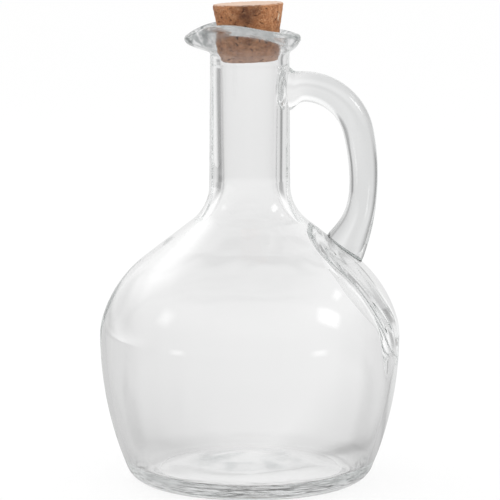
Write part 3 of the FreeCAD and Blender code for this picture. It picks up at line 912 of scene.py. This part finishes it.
def makeCork():
    profile = corkProfile()
    turns = turnsRound(cork["around"])
    outward, run = outwardOf(profile), lengthAlong(profile)
    side = np.flatnonzero(outward[:, 0] > cork["sideFacing"])
    sideStart, sideEnd = run[side[0]], run[side[-1]]
    draw = np.random.default_rng(cork["seed"])

    def dent(turn, level, length, width, angle, power):
        # 1 in the middle of a dent, 0 outside it
        across = profile[:, :1] * wrapped(turns - turn)
        up = (run - level)[:, None]
        long = (across * math.cos(angle) + up * math.sin(angle)) / length
        short = (up * math.cos(angle) - across * math.sin(angle)) / width
        return np.clip(1 - long ** 2 - short ** 2, 0, 1) ** power

    def chip(turn, level, size, depth, shape):
        sides = [size * share for share in shape]
        return depth * dent(turn, level, *sides, 0, cork["chipHollow"])

    hollow = np.zeros((len(profile), len(turns)))
    broken = np.zeros_like(hollow)
    lowest, highest = sideStart + cork["poreRange"][0], sideEnd + cork["poreRange"][1]
    for _ in range(cork["pores"]):
        turn, level = draw.uniform(0, 2 * math.pi), draw.uniform(lowest, highest)
        length, width = draw.uniform(*cork["poreLength"]) / 2, draw.uniform(*cork["poreWidth"]) / 2
        depth, angle = draw.uniform(*cork["poreDepth"]), draw.normal(0, cork["poreLean"])
        hollow = np.maximum(hollow, depth * dent(turn, level, length, width, angle, cork["poreHollow"]))
    for _ in range(cork["chips"]):
        turn, size = draw.uniform(0, math.pi), draw.uniform(*cork["chipSize"])
        depth = draw.uniform(*cork["chipDepth"])
        broken = np.maximum(broken, chip(turn, sideEnd, size, depth, cork["chipShape"]))
    for degrees in cork["brokenSide"]:
        level = sideEnd - draw.uniform(0, cork["brokenDrop"])
        size, depth = draw.uniform(*cork["chipSize"]), draw.uniform(*cork["chipDepth"])
        broken = np.maximum(broken, chip(math.radians(degrees), level, size, depth, cork["brokenShape"]))

    points = spin(profile[:, None], turns)
    upper = fade(profile[:, 1:], cork["waist"], cork["rise"])
    points[..., 2] -= upper * cork["cutSlant"] * points[..., 1] / profile[:, 0].max()
    height, spacing, *octaves = cork["grain"]
    grain = [noise.fractal(Vector(point) / spacing, *octaves) for point in points.reshape(-1, 3)]
    grain = height * np.clip(0.5 + np.array(grain).reshape(hollow.shape), 0, 1)
    points = points - spin(outward[:, None], turns) * (hollow + broken + grain)[..., None]
    caps = np.array([(0, 0, ring[:, 2].mean()) for ring in (points[0], points[-1])])
    mesh = closedMesh("corkStopper", points * mm, caps * mm)
    for name, values, depths in (("hollow", hollow, "poreDepth"), ("broken", broken, "chipDepth")):
        shades = np.clip(values / cork[depths][1] * cork["markGain"], 0, 1)
        marks = mesh.attributes.new(name, "FLOAT", "POINT")
        marks.data.foreach_set("value", np.append(shades.ravel(), (0, 0)))
    lean = Matrix.Rotation(math.radians(-cork["tilt"]), 4, "Y")
    mesh.transform(Matrix.Translation((0, 0, vessel["neckTop"] * mm)) @ lean)
    return mesh


def corkMaterial():
    material, tree = newMaterial("naturalCork")
    where = addNode(tree, "TexCoord").outputs
    place = where["Object"]

    def attribute(name):
        return addNode(tree, "Attribute", attribute_name=name).outputs["Fac"]

    mottle = [addNoise(tree, place, *spread) for spread in cork["mottle"]]
    mottle = addBlend(tree, cork["mottleShare"], *mottle)
    # fibres: thin curved lines where a warped noise passes its middle
    curl = addMath(tree, "SUBTRACT", addNoise(tree, place, *cork["fibreCurl"]), 0.5)
    fibres = addRange(tree, addMath(tree, "ABSOLUTE", curl), *cork["fibreWidth"], 1, 0)
    fibres = addProduct(tree, fibres, addNoise(tree, place, cork["fibreSpacing"]))
    # paler lower end
    lowerPale = addFade(tree, addSplit(tree, place)["Z"], cork["paleLevels"], cork["paleShare"], 0)
    # one dark stain below the upper edge
    middle = [side * mm for side in cork["stainPlace"]]
    spot = addNode(tree, "VectorMath", {0: place, 1: middle}, operation="DISTANCE")
    stain = addFade(tree, spot.outputs["Value"], cork["stainReach"], cork["stainShare"], 0)
    stain = addMath(tree, "MULTIPLY", stain, addNoise(tree, place, *cork["stainNoise"]), clamp=True)
    # fine specks between the modelled pores
    spacing, core, edge, shade = cork["specks"]
    specks = addNode(tree, "TexVoronoi", {"Vector": place, "Scale": 1 / (spacing * mm)})
    dots = addRange(tree, specks.outputs["Distance"], core, edge, shade, 0)
    dots = addProduct(tree, dots, addPatches(tree, place, cork["speckPatches"]))
    # paler cut face on top, also painted lighter as lit from above, and broken edges
    upper = addRange(tree, addSplit(tree, where["Normal"])["Z"], *cork["cutFacing"])
    chips = addProduct(tree, attribute("broken"), addPatches(tree, place, cork["brokenPatches"]))
    # modelled pores take the dark pore colour by their depth: their own dark colour, with painted shade in
    # the deeper hollows
    colour = addLayers(tree, addRamp(tree, mottle, cork["browns"]), cork, [
        (fibres, "fibre"), (lowerPale, "paleEnd"), (stain, "stain"), (dots, "hollow"),
        (attribute("hollow"), "hollow"), (upper, "cutFaceAndTopLight"), (chips, "broken"),
    ])
    height, strength, *spread = cork["bump"]
    bump = addNode(tree, "Bump", {
        "Strength": strength,
        "Distance": height * mm,
        "Height": addNoise(tree, place, *spread),
    })
    shader = addNode(tree, "BsdfPrincipled", {
        "Base Color": colour,
        "Roughness": cork["roughness"],
        "Normal": bump.outputs[0],
    })
    addNode(tree, "OutputMaterial", {"Surface": shader.outputs[0]})
    return material


corkStopper = placeObject("corkStopper", makeCork())
corkStopper.data.materials.append(corkMaterial())
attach(corkStopper, "stopper")
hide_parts("cork_stopper")
print("cork made,", len(corkStopper.data.vertices), "points")

# Camera, from the photograph's height and distance, in metres
view = {
    "place": (0, -1.1863, 0.2640),
    "aim": (0.00009, 0, 0.0797),
    "lens": 252,
    "sensor": 36,
}
cameraData = bpy.data.cameras.new("camera")
cameraData.lens = view["lens"]
cameraData.sensor_width = view["sensor"]
camera = placeObject("camera", cameraData)
camera.location = view["place"]
camera.rotation_euler = (Vector(view["aim"]) - camera.location).to_track_quat("-Z", "Y").to_euler()
scene.camera = camera

# Studio: pale floor, white for the eye, and a ring of lighter and darker ground for the glass to show
studio = {
    "floorSize": 5.0,  # metres
    "floorDrop": 0.2,  # millimetres below the foot, so that no faces meet
    "floorGlow": 0.85,  # share of the floor that is plain white, the rest takes light and shadow
    "floorColour": 0.98,
    "ringFades": (0.44, 0.65),  # metres over which the floor turns from the near to the far ring
    "farGains": [  # distance in metres, and gain of the floor there
        (0, 1.0), (0.24, 1.0), (0.32, 1.06), (0.45, 1.06), (0.62, 1.0), (0.85, 1.0), (1.05, 1.02),
        (1.30, 1.05), (2.50, 1.08),
    ],
    "roomStarts": (-1.0, 1.5),  # degrees over which the far floor turns into the room
    "roomFades": (14.0, 26.0),  # and over which the room turns even
    "footShadow": [  # radius on the floor in millimetres, level
        (0, 1.0), (33, 1.0), (34.4, 0.9), (35.2, 0.2), (36.2, 0.2), (37, 0.8), (39, 0.8), (44, 0.4),
        (70, 0.5), (200, 1.0),
    ],
    "shadowRing": [  # how strong it is round the bottle
        (-180, 1.0), (-130, 0.9), (-80, 0.2), (-65, 0), (34, 0), (40, 0.12), (48, 0.15), (62, 0.25),
        (100, 0.9), (180, 1.0),
    ],
    "cardCentre": 65.0,  # height in millimetres that the softboxes face
    "cardCorner": 4,  # 2 is an oval card, more is squarer
    "bounces": 600,  # light runs a long way inside the wall
}
# Light that the glass sees round it: azimuth from straight behind, right is positive, and level
nearRing = [
    (-180, 0.85), (-110, 0.80), (-75, 0.62), (-36, 0.62), (-20, 0.74), (-8, 0.81), (0, 0.83), (10, 0.86),
    (20, 0.78), (36, 0.72), (42, 0.64), (47, 0.48), (53, 0.48), (60, 0.70), (90, 0.80), (180, 0.85),
]
farRing = [
    (-180, 0.95), (-120, 0.95), (-90, 0.75), (-70, 0.52), (-59, 0.30), (-46, 0.26), (-36, 0.56), (-26, 0.77),
    (0, 0.79), (28, 0.78), (36, 0.72), (42, 0.30), (48, 0.30), (56, 0.70), (90, 0.78), (180, 0.95),
]
roomRing = [
    (-180, 0.95), (-90, 0.95), (-70, 0.80), (-58, 0.40), (-46, 0.36), (-36, 0.50), (-28, 0.70), (-18, 0.90),
    (0, 0.84), (28, 0.84), (36, 0.55), (41, 0.42), (54, 0.42), (62, 0.85), (180, 0.95),
]
# The same for the room above the floor: degrees up, and its share of the ring's level
roomHeights = [(0, 1.0), (15, 1.0), (26, 1.08), (38, 1.1), (55, 0.75), (70, 0.40), (90, 0.35)]


def makeSquare(name, half, level, material):
    mesh = bpy.data.meshes.new(name)
    corners = [(-half, -half), (half, -half), (half, half), (-half, half)]
    mesh.from_pydata([(*corner, level) for corner in corners], [], [(0, 1, 2, 3)])
    mesh.materials.append(material)
    return placeObject(name, mesh)


def makeFloor():
    material, tree = newMaterial("paleFloor")
    path = addNode(tree, "LightPath").outputs
    place = addNode(tree, "NewGeometry").outputs["Position"]
    away = addNode(tree, "VectorMath", {0: place}, operation="LENGTH").outputs["Value"]
    turn = addTurn(tree, addSplit(tree, place))
    # dark ground at the foot
    widest = studio["footShadow"][-1][0]
    reach = addMath(tree, "DIVIDE", away, widest * mm)
    shadow = addRamp(tree, reach, [(radius / widest, level) for radius, level in studio["footShadow"]])
    shadow = addBlend(tree, addRing(tree, turn, studio["shadowRing"]), 1.0, shadow)
    # near and far ground
    far = addRange(tree, away, *studio["ringFades"], 0, 1)
    level = addBlend(tree, far, addRing(tree, turn, nearRing), addRing(tree, turn, farRing))
    farthest, highest = studio["farGains"][-1]
    reach = addMath(tree, "DIVIDE", away, farthest)
    gains = [(length / farthest, share / highest) for length, share in studio["farGains"]]
    gain = addRamp(tree, reach, gains)
    shown = addProduct(tree, level, gain, highest, shadow)
    # white for the eye, that ground for the glass, and a matte floor for the rest
    eye = path["Is Camera Ray"]
    glow = addNode(tree, "Emission", {"Strength": addMath(tree, "MAXIMUM", shown, eye)})
    shine = addMath(tree, "ADD", path["Is Glossy Ray"], path["Is Transmission Ray"])
    shine = addMath(tree, "MINIMUM", shine, 1)
    white = addProduct(tree, eye, studio["floorGlow"])
    matte = addNode(tree, "BsdfDiffuse", {"Color": (*[studio["floorColour"]] * 3, 1)})
    mix = addNode(tree, "MixShader", {
        0: addMath(tree, "MAXIMUM", white, shine),
        1: matte.outputs[0],
        2: glow.outputs[0],
    })
    addNode(tree, "OutputMaterial", {"Surface": mix.outputs[0]})
    floor = makeSquare("floor", studio["floorSize"] / 2, -studio["floorDrop"] * mm, material)


def makeWorld():
    world = bpy.data.worlds.new("studio")
    scene.world = world
    tree = emptyTree(world)
    path = addNode(tree, "LightPath").outputs
    way = addSplit(tree, addNode(tree, "TexCoord").outputs["Generated"])
    turn = addTurn(tree, way)
    height = addProduct(tree, addMath(tree, "ARCSINE", way["Z"]), 2 / math.pi)
    above, even = [addRange(tree, height, *[angle / 90 for angle in studio[name]], 0, 1)
                   for name in ("roomStarts", "roomFades")]
    horizon = addProduct(tree, addRing(tree, turn, farRing), studio["farGains"][-1][1])
    ring = addBlend(tree, above, horizon, addRing(tree, turn, roomRing))
    room = addRamp(tree, height, [(up / 90, share) for up, share in roomHeights])
    level = addProduct(tree, addBlend(tree, even, ring, 1.0), room)
    plain = addMath(tree, "MAXIMUM", path["Is Camera Ray"], path["Is Diffuse Ray"])
    glow = addNode(tree, "Background", {
        "Color": (1, 1, 1, 1),
        "Strength": addBlend(tree, plain, level, 1.0),
    })
    addNode(tree, "OutputWorld", {"Surface": glow.outputs[0]})


# Softboxes with soft edges: azimuth from the front, elevation, distance, size, roll, strength, edge
softboxes = {
    "rightBox": (73, 32, 0.9, (0.30, 0.36), -45, 5.0, 0.7),
    "leftBox": (-134, 40, 0.9, (0.85, 0.62), 0, 1.9, 1.0),
    "leftSpot": (-77, 30, 0.9, (0.30, 0.30), 0, 2.5, 1.0),
    "leftCard": (-110, -3, 0.9, (1.0, 0.5), 0, 2.0, 1.0),
    "leftLow": (-136, 14, 0.9, (0.85, 0.46), 0, 0.55, 0.5),
    "rightGlint": (49, -5, 0.25, (0.075, 0.056), 0, 3.2, 1.0),
    "leftGlint": (-51, -5, 0.25, (0.070, 0.050), 0, 2.6, 1.0),
    "highGlint": (101, 40, 0.9, (0.26, 0.12), 0, 3.0, 1.0),
}


def makeSoftbox(name, azimuth, elevation, distance, size, roll, strength, edge):
    material, tree = newMaterial(name)
    place = addSplit(tree, addNode(tree, "TexCoord").outputs["Object"])
    corner = studio["cardCorner"]
    powers = [addMath(tree, "POWER", addMath(tree, "ABSOLUTE", place[axis]), corner) for axis in "XY"]
    reach = addMath(tree, "POWER", addMath(tree, "ADD", *powers), 1 / corner)
    light = addRange(tree, reach, 1 - edge, 1, strength, 0)
    front = addMath(tree, "SUBTRACT", 1, addNode(tree, "NewGeometry").outputs["Backfacing"])
    glow = addNode(tree, "Emission", {"Strength": addProduct(tree, light, front)})
    clear = addNode(tree, "BsdfTransparent")
    both = addNode(tree, "AddShader", {0: glow.outputs[0], 1: clear.outputs[0]})
    addNode(tree, "OutputMaterial", {"Surface": both.outputs[0]})

    card = makeSquare(name, 1, 0, material)
    around, up = math.radians(azimuth), math.radians(elevation)
    way = Vector((math.sin(around) * math.cos(up), -math.cos(around) * math.cos(up), math.sin(up)))
    turn = way.to_track_quat("Z", "Y").to_matrix().to_4x4() @ Matrix.Rotation(math.pi, 4, "Y")
    turn = turn @ Matrix.Rotation(math.radians(roll), 4, "Z")
    middle = Matrix.Translation(Vector((0, 0, studio["cardCentre"] * mm)) + way * distance)
    card.matrix_world = middle @ turn @ Matrix.Diagonal((size[0] / 2, size[1] / 2, 1, 1))
    for kind in ("visible_camera", "visible_shadow", "visible_transmission"):
        setattr(card, kind, False)


makeFloor()
makeWorld()
for name, settings in softboxes.items():
    makeSoftbox(name, *settings)
scene.view_settings.view_transform = "Standard"
for kind in ("max_bounces", "transmission_bounces", "glossy_bounces"):
    setattr(scene.cycles, kind, studio["bounces"])
print("studio set")
